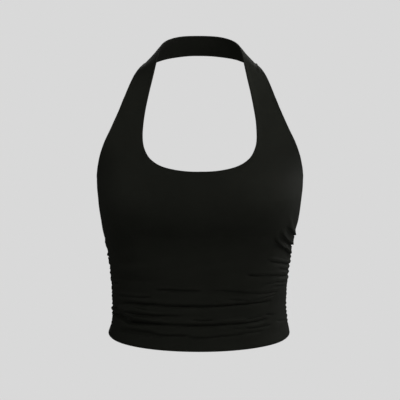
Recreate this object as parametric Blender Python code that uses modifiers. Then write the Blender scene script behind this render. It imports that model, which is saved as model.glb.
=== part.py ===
"""Halter neck top in black double jersey, worn form, with no wearer.

Three sewn pieces stand round an open hollow: the front panel with its two halter straps,
the back panel, and the band round the nape.  Both side seams are ruched, so shallow folds
fan out of them across the front and the back.

Frame: +X to the top's own left as it faces the viewer's right, +Y from front to back,
+Z up.  The origin is on the inner face of the nape band, at its middle, where the neck
holds the top.  Tables are in millimetres, with heights above the sides of the hem.
"""
import math

import bpy
import numpy as np
from mathutils import Vector
from mathutils.geometry import delaunay_2d_cdt

MM = 0.001

# ---------------------------------------------------------------- driving sizes (mm)
WALL = 1.8               # two layers of jersey, turned in and joined at their edges
SEAM_GAP = 0.36          # air between two sewn pieces
HEM_DIP_FRONT = 14.4     # centre front of the hem, below its sides
HEM_DIP_BACK = 8.0       # centre back of the hem, below its sides
UNDERARM_HEIGHT = 226.0  # top of the side seams
BACK_TOP_DIP = 17.0      # centre back of the top edge, below the underarms
HOLD_DEPTH = 79.3        # nape band's inner face, behind the side seams
HOLD_HEIGHT = 416.9      # middle of the nape band
STRAP_CROWN = 0.9        # how far the middle of a strap stands proud of its edges

# Level rings of the body.  "square" is the power of the superellipse: 2 is an ellipse.
RING_COLUMNS = ("height", "shift", "half_width", "front", "front_square", "back", "back_square")
RINGS = (
    (-20.0, -1.6, 133.0, 101.5, 2.16, 100.0, 2.15),
    (0.0, -1.5, 132.0, 99.8, 2.18, 97.5, 2.15),
    (12.0, -1.5, 129.4, 98.4, 2.22, 95.0, 2.20),
    (28.0, -1.5, 126.9, 97.4, 2.28, 91.5, 2.25),
    (50.0, -1.3, 126.6, 96.8, 2.33, 88.0, 2.25),
    (70.0, -1.0, 127.7, 96.8, 2.38, 86.0, 2.25),
    (90.0, -0.8, 129.6, 97.4, 2.42, 85.5, 2.25),
    (112.0, -0.6, 132.6, 99.0, 2.48, 86.5, 2.25),
    (130.0, -0.5, 135.8, 102.4, 2.55, 88.0, 2.25),
    (146.0, -0.4, 139.3, 108.2, 2.66, 90.0, 2.28),
    (162.0, -0.3, 142.3, 113.9, 2.76, 92.5, 2.30),
    (178.0, -0.2, 145.0, 117.2, 2.78, 95.0, 2.32),
    (194.0, -0.1, 147.2, 116.9, 2.74, 97.0, 2.34),
    (210.0, 0.0, 148.6, 113.8, 2.64, 98.5, 2.36),
    (226.0, 0.0, 148.9, 109.2, 2.52, 99.5, 2.38),
    (242.0, 0.0, 151.2, 103.6, 2.46, 99.5, 2.38),
    (260.0, 0.0, 158.0, 96.0, 2.41, 99.0, 2.38),
    (290.0, 0.0, 173.0, 82.4, 2.40, 98.0, 2.38),
    (320.0, 0.0, 180.5, 68.6, 2.40, 97.0, 2.38),
    (345.0, 0.0, 186.0, 56.6, 2.40, 96.0, 2.38),
)

# Neckline on the body, from centre front outwards and up the strap's neck edge.
NECKLINE_COLUMNS = ("half_width", "height")
NECKLINE = (
    (0.0, 238.8), (13.5, 239.1), (27.5, 240.4), (41.5, 242.8), (55.5, 247.0), (66.8, 253.8),
    (73.2, 260.8), (76.9, 268.0), (79.2, 276.0), (80.2, 285.5), (80.0, 296.5), (78.8, 309.0),
    (76.8, 322.8),
)

# Arm edge on the body: angle round from centre front, from the top of the side seam.
ARM_EDGE_COLUMNS = ("angle", "height")
ARM_EDGE = (
    (90.0, 226.0), (84.0, 227.0), (78.6, 230.0), (74.0, 235.6), (69.4, 242.4), (64.6, 249.8),
    (56.3, 264.8), (49.5, 279.2), (44.2, 293.2), (40.3, 306.8), (37.2, 320.2),
)

# The strap above the body: its neck edge and its arm edge, half width, depth and height.
STRAP_COLUMNS = ("neck_x", "neck_y", "neck_z", "arm_x", "arm_y", "arm_z")
STRAP = (
    (74.1, -57.6, 336.8, 109.9, -53.4, 333.8),
    (71.0, -51.4, 350.9, 104.8, -47.2, 347.4),
    (67.6, -44.2, 364.8, 99.3, -39.6, 360.9),
    (64.7, -35.4, 378.2, 93.6, -30.2, 373.2),
    (62.6, -24.4, 390.8, 87.6, -18.2, 382.2),
    (60.7, -11.2, 401.4, 83.6, -4.6, 387.2),
    (58.9, 3.4, 410.2, 79.8, 8.4, 389.4),
)
CREST_SEAM = 7           # the strap ends here and the nape band begins
NAPE = (
    (56.7, 17.0, 416.2, 75.2, 20.2, 390.4),
    (53.6, 30.4, 420.2, 69.8, 32.2, 391.0),
    (48.9, 43.0, 423.6, 63.9, 44.2, 392.6),
    (42.4, 54.2, 426.6, 56.0, 57.0, 395.4),
    (34.0, 63.8, 429.2, 45.2, 68.8, 398.0),
    (23.4, 70.6, 430.9, 31.2, 77.6, 400.2),
    (11.8, 74.2, 431.6, 15.8, 83.0, 401.8),
    (0.0, 75.3, 431.8, 0.0, 84.8, 402.2),
)

# The front's level sections stop at a yoke line under the neckline and the arm edges.
YOKE_SIDE_HEIGHT = 206.0
YOKE_CENTRE_HEIGHT = 227.0
HALF_COLUMNS = 13        # columns of faces across half of the front, and of the back
STRAP_COLUMNS_ACROSS = 4
FACE_SIZE = 9.0          # size of the faces between the yoke line and the straps
ARC_PER_DEGREE = 2.4     # mm round the bust for each degree

# The largest folds.  Each is a ridge with a trough under it, along an arc from one angle
# and height to another.  "sag" bows the arc down at its middle.
FOLD_COLUMNS = ("from_angle", "from_height", "to_angle", "to_height", "sag", "trough",
                "ridge", "breadth")
FRONT_FOLDS = (
    (-78.0, 31.0, 52.0, 28.5, 6.0, 2.1, 1.5, 5.2),
    (-76.0, 44.0, -6.0, 36.5, 1.5, 1.5, 1.2, 5.0),
    (-66.0, 53.5, 56.0, 55.5, 4.0, 1.7, 1.2, 5.0),
    (-34.0, 72.5, 60.0, 65.0, -1.0, 0.9, 0.8, 5.5),
    (-60.0, 13.0, 50.0, 14.5, 6.5, 1.1, 1.0, 5.5),
    (26.0, 93.5, 82.0, 85.5, 0.0, 1.3, 1.2, 5.0),
    (41.0, 113.5, 84.0, 102.5, 0.0, 1.4, 1.3, 5.0),
    (45.0, 141.0, 84.0, 119.5, 0.5, 1.9, 1.9, 5.0),
    (51.0, 151.0, 85.0, 129.5, 0.5, 1.7, 1.9, 5.0),
    (-84.0, 110.0, -38.0, 152.0, 0.0, 1.4, 1.0, 9.0),
    (-84.0, 78.0, -44.0, 86.0, 0.0, 0.9, 0.9, 6.0),
)
BACK_FOLDS = (
    (-78.0, 28.0, 60.0, 33.0, 5.0, 1.8, 1.4, 5.2),
    (-58.0, 50.0, 78.0, 46.5, 4.0, 1.7, 1.3, 5.0),
    (-80.0, 66.0, -8.0, 58.5, 1.5, 1.4, 1.1, 5.0),
    (10.0, 72.0, 80.0, 74.5, 1.5, 1.2, 1.0, 5.0),
    (-82.0, 92.0, -30.0, 98.0, 0.0, 1.3, 1.2, 5.0),
    (36.0, 103.0, 83.0, 96.0, 0.0, 1.3, 1.2, 5.0),
    (-84.0, 116.0, -46.0, 135.0, 0.5, 1.6, 1.6, 5.0),
    (44.0, 139.0, 84.0, 120.0, 0.5, 1.7, 1.7, 5.0),
    (-60.0, 11.0, 46.0, 13.0, 5.0, 1.0, 0.9, 5.5),
)

BLACK_JERSEY = (0.0075, 0.0075, 0.0065, 1.0)


# ---------------------------------------------------------------- curves and rings
def spline(knots, values):
    """Natural cubic spline through the values; returns a function of one number."""
    t, v = np.asarray(knots, float), np.asarray(values, float)
    n, step = len(t), np.diff(t)
    rows, right = np.eye(n), np.zeros(n)
    for i in range(1, n - 1):
        rows[i, i - 1:i + 2] = step[i - 1], 2 * (step[i - 1] + step[i]), step[i]
        right[i] = 6 * ((v[i + 1] - v[i]) / step[i] - (v[i] - v[i - 1]) / step[i - 1])
    bend = np.linalg.solve(rows, right)

    def at(x):
        x = np.clip(x, t[0], t[-1])
        i = np.clip(np.searchsorted(t, x) - 1, 0, n - 2)
        d, a, b = step[i], t[i + 1] - x, x - t[i]
        return (bend[i] * a ** 3 + bend[i + 1] * b ** 3) / (6 * d) \
            + (v[i] / d - bend[i] * d / 6) * a + (v[i + 1] / d - bend[i + 1] * d / 6) * b
    return at


def column_splines(knots, table):
    return [spline(knots, column) for column in zip(*table)]


RING = dict(zip(RING_COLUMNS[1:], column_splines([r[0] for r in RINGS],
                                                 [r[1:] for r in RINGS])))


def ring_point(angle, height):
    """Point of the body's outer face; the angle runs from centre front, in degrees."""
    a = math.radians(angle)
    s, c = math.sin(a), math.cos(a)
    half = "front" if c >= 0 else "back"
    power = float(RING[half + "_square"](height))
    reach = (abs(s) ** power + abs(c) ** power) ** (-1 / power)
    return np.array((RING["shift"](height) + RING["half_width"](height) * s * reach,
                     -RING[half](height) * c * reach, height))


def ring_angle(point):
    x, y, height = point
    depth = RING["front" if y <= 0 else "back"](height)
    return math.degrees(math.atan2(x / RING["half_width"](height), -y / depth))


def front_angle(x, height):
    """Angle of the front's point at this half width."""
    power = float(RING["front_square"](height))
    r = x / float(RING["half_width"](height))
    return math.degrees(math.atan2(r, (1 - r ** power) ** (1 / power)))


def edge_curve(points):
    columns = column_splines(range(len(points)), points)
    return lambda station: np.array([float(c(station)) for c in columns])


STRAP_ROWS = STRAP + NAPE
neck_edge = edge_curve([ring_point(front_angle(x, h), h) for x, h in NECKLINE]
                       + [row[:3] for row in STRAP_ROWS])
arm_edge = edge_curve([ring_point(a, h) for a, h in ARM_EDGE]
                      + [row[3:] for row in STRAP_ROWS])
NECK_STRAP_START, ARM_STRAP_START = len(NECKLINE), len(ARM_EDGE)


def strap_ends(row):
    """Neck and arm edge of the strap and the nape band, at a row of their tables."""
    return neck_edge(NECK_STRAP_START + row), arm_edge(ARM_STRAP_START + row)


def half_seam_gap():
    """Half of the crest seam's gap, in rows of the strap's table."""
    before, after = strap_ends(CREST_SEAM - 0.5), strap_ends(CREST_SEAM + 0.5)
    return SEAM_GAP / 2 / np.linalg.norm(sum(after) / 2 - sum(before) / 2)


def smooth(x, low, high):
    t = min(1.0, max(0.0, (x - low) / (high - low)))
    return t * t * (3 - 2 * t)


# ---------------------------------------------------------------- folds
def across(point):
    """How far round a point lies, as the arc sine of its share of the half width."""
    share = (point[0] - float(RING["shift"](point[2]))) / float(RING["half_width"](point[2]))
    return math.degrees(math.asin(max(-1.0, min(1.0, share))))


def fold_height(point, angle, table):
    """How far the folds of a table push the surface out at an angle and a height."""
    push = 0.0
    for a0, h0, a1, h1, sag, trough, ridge, breadth in table:
        t = (angle - a0) / (a1 - a0)
        if not 0.0 < t < 1.0:
            continue
        line = h0 + (h1 - h0) * t - 4 * sag * t * (1 - t)
        d = (point[2] - line) / breadth
        fade = smooth(t, 0.0, 0.22) * smooth(1 - t, 0.0, 0.22)
        push += fade * (ridge * math.exp(-((d - 1.25) / 0.95) ** 2)
                        - trough * math.exp(-(d / 0.75) ** 2))
    return push


def pushed(point, angle, table):
    """The body point moved along the outward normal by the folds."""
    amount = fold_height(point, across(point), table)
    if abs(amount) < 1e-4:
        return point
    h = point[2]
    round_it = ring_point(angle + 0.5, h) - ring_point(angle - 0.5, h)
    up = ring_point(angle, h + 1) - ring_point(angle, h - 1)
    normal = np.cross(round_it, up)
    return point + normal / np.linalg.norm(normal) * amount


# ---------------------------------------------------------------- sections of the panels
def half_fractions(count):
    """Shares of a half section, with one narrow column at the side seam."""
    return [0.985 * i / (count - 1) for i in range(count)] + [1.0]


def seam_angle(height, half):
    """The side seam's angle, held back from the other panel by half of the gap."""
    return 90.0 - math.degrees(SEAM_GAP / 2 / float(RING[half](height)))


def section(middle_angle, middle_height, seam, seam_height, folds, count):
    """A section of a panel from side seam to side seam, with its middle set apart."""
    row = []
    turn = seam - middle_angle
    fractions = half_fractions(count)
    for f in [-f for f in fractions[:0:-1]] + fractions:
        angle = middle_angle + abs(f) * turn
        lift = (math.cos(math.radians(angle)) - math.cos(math.radians(seam))) \
            / (math.cos(math.radians(middle_angle)) - math.cos(math.radians(seam)))
        height = seam_height + (middle_height - seam_height) * lift
        angle = math.copysign(angle, f)
        row.append(pushed(ring_point(angle, height), angle, folds))
    return row


def strap_section(row, shares, crown):
    """A section of the strap or nape band, its middle moved outwards by a crown."""
    neck, arm = strap_ends(row)
    ahead = sum(strap_ends(row + 0.05)) - sum(strap_ends(row - 0.05))
    out = np.cross(arm - neck, ahead)
    out /= np.linalg.norm(out)
    return [neck + (arm - neck) * f + out * crown * 4 * f * (1 - f) for f in shares]


def mirrored(points):
    return [p * (-1, 1, 1) for p in points]


def walk(curve, start, stop, size):
    """Stations along an edge curve, about one face size apart, without its two ends."""
    fine = np.linspace(start, stop, 200)
    points = np.array([curve(t) for t in fine])
    run = np.concatenate([[0], np.cumsum(np.linalg.norm(np.diff(points, axis=0), axis=1))])
    count = max(2, round(run[-1] / size))
    return [float(np.interp(run[-1] * i / count, run, fine)) for i in range(1, count)]


SEAM_HEIGHTS = [0.0, 3.0] + [3.0 + 5.33 * i for i in range(1, 30)] \
    + [166.0, 175.0, 185.0, 195.5, YOKE_SIDE_HEIGHT]


# ---------------------------------------------------------------- meshes
def cloth_shell(name, points, faces, collection, material):
    """An open surface given the thickness of the cloth, inwards from its outer face."""
    mesh = bpy.data.meshes.new(name)
    origin = np.array((0.0, HOLD_DEPTH, HOLD_HEIGHT))
    mesh.from_pydata([tuple((p - origin) * MM) for p in points], [], faces)
    mesh.materials.append(material)
    mesh.validate()
    mesh.shade_smooth()
    piece = bpy.data.objects.new(name, mesh)
    collection.objects.link(piece)
    wall = piece.modifiers.new("cloth", "SOLIDIFY")
    wall.thickness = WALL * MM
    wall.offset = -1.0
    wall.use_rim = True
    return piece


class Grid:
    """Points numbered as they are added, with strips of faces between two rows."""

    def __init__(self):
        self.points, self.faces = [], []

    def row(self, points):
        start = len(self.points)
        self.points.extend(points)
        return list(range(start, len(self.points)))

    def strip(self, low, high, flip):
        for i in range(len(low) - 1):
            quad = (low[i], low[i + 1], high[i + 1], high[i])
            self.faces.append(quad[::-1] if flip else quad)


def jersey(name, rough):
    material = bpy.data.materials.new(name)
    material.use_nodes = True
    shader = material.node_tree.nodes["Principled BSDF"]
    shader.inputs["Base Color"].default_value = BLACK_JERSEY
    shader.inputs["Roughness"].default_value = rough
    shader.inputs["Metallic"].default_value = 0.0
    return material


def inside(polygon, u, v):
    hit = False
    for (x0, y0), (x1, y1) in zip(polygon, polygon[1:] + polygon[:1]):
        if (y0 > v) != (y1 > v) and u < x0 + (x1 - x0) * (v - y0) / (y1 - y0):
            hit = not hit
    return hit


def edge_distance(polygon, u, v):
    """How far a place lies from the nearest side of a polygon."""
    a = np.array(polygon)
    along = np.roll(a, -1, axis=0) - a
    t = np.clip((((u, v) - a) * along).sum(axis=1) / (along ** 2).sum(axis=1), 0.0, 1.0)
    return float(np.min(np.linalg.norm(a + along * t[:, None] - (u, v), axis=1)))


def fill_region(grid, outline, size):
    """Even triangles inside an outline of (angle, height, vertex number)."""
    flat = [(a * ARC_PER_DEGREE, h) for a, h, _ in outline]
    us, vs = zip(*flat)
    extra = []
    rows = int((max(vs) - min(vs)) / (size * 0.866))
    for j in range(1, rows + 1):
        v = min(vs) + j * size * 0.866
        columns = int((max(us) - min(us)) / size)
        for i in range(-1, columns + 2):
            u = (i - columns / 2 + 0.5 * (j % 2)) * size
            if inside(flat, u, v) and edge_distance(flat, u, v) > 0.55 * size:
                extra.append((u, v))
    coords = [Vector(p) for p in flat + extra]
    count = len(flat)
    faces = [list(range(count))]
    verts, _, tris, source, _, _ = delaunay_2d_cdt(coords, [], faces, 1, 1e-5)
    ids = []
    for place, origins in zip(verts, source):
        first = min(origins)
        if first < count:
            ids.append(outline[first][2])
        else:
            ids.extend(grid.row([ring_point(place[0] / ARC_PER_DEGREE, place[1])]))
    for tri in tris:
        (x0, y0), (x1, y1), (x2, y2) = (verts[k] for k in tri)
        turn = (x1 - x0) * (y2 - y0) - (x2 - x0) * (y1 - y0)
        face = tuple(ids[k] for k in tri)
        grid.faces.append(face if turn > 0 else face[::-1])


def make_front(collection):
    grid = Grid()
    last = None
    for height in SEAM_HEIGHTS:
        share = height / YOKE_SIDE_HEIGHT
        middle = -HEM_DIP_FRONT + share * (YOKE_CENTRE_HEIGHT + HEM_DIP_FRONT)
        ids = grid.row(section(0.0, middle, seam_angle(height, "front"), height, FRONT_FOLDS,
                               HALF_COLUMNS))
        if last:
            grid.strip(last, ids, False)
        last = ids

    # the outline of the region between the yoke line and the straps, anticlockwise
    def numbered(point, angle=None):
        return (ring_angle(point) if angle is None else angle, point[2], grid.row([point])[0])

    outline = [(ring_angle(grid.points[i]), grid.points[i][2], i) for i in last]
    shares = [i / STRAP_COLUMNS_ACROSS for i in range(STRAP_COLUMNS_ACROSS + 1)]
    neck_end, arm_end = NECK_STRAP_START - 1, ARM_STRAP_START - 1
    sides = {}
    for side in (1, -1):
        seam = []
        for height in (YOKE_SIDE_HEIGHT + (UNDERARM_HEIGHT - YOKE_SIDE_HEIGHT) * k / 3
                       for k in (1, 2, 3)):
            angle = side * seam_angle(height, "front")
            seam.append(numbered(ring_point(angle, height), angle))
        arm = [numbered(arm_edge(t) * (side, 1, 1)) for t in walk(arm_edge, 0, arm_end,
                                                                   FACE_SIZE)]
        neck_angle, arm_angle = (ring_angle(edge(end)) for edge, end in
                                 ((neck_edge, neck_end), (arm_edge, arm_end)))
        neck_height, arm_height = neck_edge(neck_end)[2], arm_edge(arm_end)[2]
        base = [numbered(ring_point(side * (neck_angle + (arm_angle - neck_angle) * f),
                                    neck_height + (arm_height - neck_height) * f))
                for f in shares]
        neck = [numbered(neck_edge(t) * (side, 1, 1)) for t in walk(neck_edge, neck_end, 0,
                                                                    FACE_SIZE)]
        sides[side] = (seam, arm, base, neck)
    bottom = [numbered(neck_edge(0))]
    right, left = sides[1], sides[-1]
    outline += right[0] + right[1] + right[2][::-1] + right[3] + bottom
    outline += left[3][::-1] + left[2] + left[1][::-1] + left[0][::-1]
    fill_region(grid, outline, FACE_SIZE)

    rows = list(range(CREST_SEAM)) + [CREST_SEAM - 0.1, CREST_SEAM - half_seam_gap()]
    for side in (1, -1):
        last = [number for _, _, number in sides[side][2]]
        for row in rows:
            points = strap_section(row, shares, STRAP_CROWN * smooth(row, -6, 4))
            ids = grid.row(points if side == 1 else mirrored(points))
            grid.strip(last, ids, side == -1)
            last = ids
    return cloth_shell("front_panel", grid.points, grid.faces, collection,
                       jersey("front_jersey", 0.82))


def make_back(collection):
    grid = Grid()
    last = None
    for height in SEAM_HEIGHTS + [216.0, UNDERARM_HEIGHT]:
        share = height / UNDERARM_HEIGHT
        middle = -HEM_DIP_BACK + share * (UNDERARM_HEIGHT - BACK_TOP_DIP + HEM_DIP_BACK)
        ids = grid.row(section(180.0, middle, 180.0 - seam_angle(height, "back"), height,
                               BACK_FOLDS, HALF_COLUMNS - 2))
        if last:
            grid.strip(last, ids, True)
        last = ids
    return cloth_shell("back_panel", grid.points, grid.faces, collection,
                       jersey("back_jersey", 0.82))


def make_neck_strap(collection):
    grid = Grid()
    shares = [i / STRAP_COLUMNS_ACROSS for i in range(STRAP_COLUMNS_ACROSS + 1)]
    last_row = len(NAPE) - 1
    places = [half_seam_gap(), 0.1] + [0.7 * i for i in range(1, 10)]
    half = [strap_section(CREST_SEAM + place, shares, STRAP_CROWN) for place in places]
    middle = [neck_edge(NECK_STRAP_START + CREST_SEAM + last_row)
              + (arm_edge(ARM_STRAP_START + CREST_SEAM + last_row)
                 - neck_edge(NECK_STRAP_START + CREST_SEAM + last_row)) * f
              + np.array((0.0, STRAP_CROWN, 0.3 * STRAP_CROWN)) * 4 * f * (1 - f)
              for f in shares]
    last = None
    for points in half + [middle] + [mirrored(row) for row in half[::-1]]:
        ids = grid.row(points)
        if last:
            grid.strip(last, ids, False)
        last = ids
    return cloth_shell("neck_strap", grid.points, grid.faces, collection,
                       jersey("neck_jersey", 0.82))


def main():
    for thing in list(bpy.data.objects):
        bpy.data.objects.remove(thing, do_unlink=True)
    collection = bpy.data.collections.new("halter_neck_top")
    bpy.context.scene.collection.children.link(collection)
    make_front(collection)
    make_back(collection)
    make_neck_strap(collection)


main()
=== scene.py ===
"""Looks of the halter neck top: matte black double jersey, ruched along both side seams.

Three sheets of cloth are built on the form of their solids, with their folds in relief: the
front with its two halter straps, the back, and the band round the nape.  Sizes are in
millimetres until the meshes are made: x to the viewer's right, y from front to back with the
side seams at 0, and height above the sides of the hem.
"""
import math

import bpy
import numpy as np
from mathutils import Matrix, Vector
from mathutils.geometry import delaunay_2d_cdt
from mathutils.kdtree import KDTree


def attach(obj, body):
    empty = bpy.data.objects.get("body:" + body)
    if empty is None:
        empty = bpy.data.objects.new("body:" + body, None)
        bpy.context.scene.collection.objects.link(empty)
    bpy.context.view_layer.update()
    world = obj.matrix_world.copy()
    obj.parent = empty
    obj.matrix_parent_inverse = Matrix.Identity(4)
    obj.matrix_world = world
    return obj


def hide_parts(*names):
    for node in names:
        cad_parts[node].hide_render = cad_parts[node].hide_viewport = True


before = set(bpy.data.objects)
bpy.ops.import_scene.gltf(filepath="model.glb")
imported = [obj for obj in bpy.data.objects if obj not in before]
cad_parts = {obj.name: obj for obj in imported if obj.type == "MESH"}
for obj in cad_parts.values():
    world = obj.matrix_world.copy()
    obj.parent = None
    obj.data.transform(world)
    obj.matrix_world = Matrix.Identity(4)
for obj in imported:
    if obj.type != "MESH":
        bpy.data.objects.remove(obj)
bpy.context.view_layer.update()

# ================================================================ sizes (mm)
WALL = 1.8
EDGE_ROUND = 0.9         # the turned edges are half round
SEAM_HALF = -0.3         # the stitches draw the turned edges into each other
HEM_DIP_FRONT = 14.4
HEM_DIP_BACK = 8.0
UNDERARM_HEIGHT = 226.0
BACK_TOP_DIP = 17.0
HOLD_DEPTH = 79.3
HOLD_HEIGHT = 416.9
YOKE_SIDE_HEIGHT = 206.0
YOKE_CENTRE_HEIGHT = 227.0
FACE = 2.4               # usual distance between points of the meshes
ROW = 0.755              # distance between rows where the cloth is ruched
INSETS = (0.9, 1.5, 2.6, 4.2)   # rows of points along a turned edge

# Level rings: height, shift, half_width, front, front_square, back, back_square
RING_COLUMNS = ("shift", "half_width", "front", "front_square", "back", "back_square")
RINGS = (
    (-20.0, -1.6, 133.0, 101.5, 2.16, 100.0, 2.15),
    (0.0, -1.5, 132.0, 99.8, 2.18, 97.5, 2.15),
    (12.0, -1.5, 129.4, 98.4, 2.22, 95.0, 2.20),
    (28.0, -1.5, 126.9, 97.4, 2.28, 91.5, 2.25),
    (50.0, -1.3, 126.6, 96.8, 2.33, 88.0, 2.25),
    (70.0, -1.0, 127.7, 96.8, 2.38, 86.0, 2.25),
    (90.0, -0.8, 129.6, 97.4, 2.42, 85.5, 2.25),
    (112.0, -0.6, 132.6, 99.0, 2.48, 86.5, 2.25),
    (130.0, -0.5, 135.8, 102.4, 2.55, 88.0, 2.25),
    (146.0, -0.4, 139.3, 108.2, 2.66, 90.0, 2.28),
    (162.0, -0.3, 142.3, 113.9, 2.76, 92.5, 2.30),
    (178.0, -0.2, 145.0, 117.2, 2.78, 95.0, 2.32),
    (194.0, -0.1, 147.2, 116.9, 2.74, 97.0, 2.34),
    (210.0, 0.0, 148.6, 113.8, 2.64, 98.5, 2.36),
    (226.0, 0.0, 148.9, 109.2, 2.52, 99.5, 2.38),
    (242.0, 0.0, 151.2, 103.6, 2.46, 99.5, 2.38),
    (260.0, 0.0, 158.0, 96.0, 2.41, 99.0, 2.38),
    (290.0, 0.0, 173.0, 82.4, 2.40, 98.0, 2.38),
    (320.0, 0.0, 180.5, 68.6, 2.40, 97.0, 2.38),
    (345.0, 0.0, 186.0, 56.6, 2.40, 96.0, 2.38),
)
# Neckline on the body: half width, height
NECKLINE = (
    (0.0, 238.8), (13.5, 239.1), (27.5, 240.4), (41.5, 242.8), (55.5, 247.0), (66.8, 253.8),
    (73.2, 260.8), (76.9, 268.0), (79.2, 276.0), (80.2, 285.5), (80.0, 296.5), (78.8, 309.0),
    (76.8, 322.8),
)
# Arm edge on the body: angle round from centre front, height
ARM_EDGE = (
    (90.0, 226.0), (84.0, 227.0), (78.6, 230.0), (74.0, 235.6), (69.4, 242.4), (64.6, 249.8),
    (56.3, 264.8), (49.5, 279.2), (44.2, 293.2), (40.3, 306.8), (37.2, 320.2),
)
# Strap, then nape band: neck edge x, y, z and arm edge x, y, z
STRAP = (
    (74.1, -57.6, 336.8, 109.9, -53.4, 333.8),
    (71.0, -51.4, 350.9, 104.8, -47.2, 347.4),
    (67.6, -44.2, 364.8, 99.3, -39.6, 360.9),
    (64.7, -35.4, 378.2, 93.6, -30.2, 373.2),
    (62.6, -24.4, 390.8, 87.6, -18.2, 382.2),
    (60.7, -11.2, 401.4, 83.6, -4.6, 387.2),
    (58.9, 3.4, 410.2, 79.8, 8.4, 389.4),
)
CREST_SEAM = 7
NAPE = (
    (56.7, 17.0, 416.2, 75.2, 20.2, 390.4),
    (53.6, 30.4, 420.2, 69.8, 32.2, 391.0),
    (48.9, 43.0, 423.6, 63.9, 44.2, 392.6),
    (42.4, 54.2, 426.6, 56.0, 57.0, 395.4),
    (34.0, 63.8, 429.2, 45.2, 68.8, 398.0),
    (23.4, 70.6, 430.9, 31.2, 77.6, 400.2),
    (11.8, 74.2, 431.6, 15.8, 83.0, 401.8),
    (0.0, 75.3, 431.8, 0.0, 84.8, 402.2),
)
STRAP_CROWN = 0.9
STRAP_HOLLOW = 1.4       # the pull of the straps draws their middle in
TUCK_SAG = 1.3           # how far the rolls of the tucks sag over their lines
NECK_LIFT = 0.9          # the neckline stands up beside the straps

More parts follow.
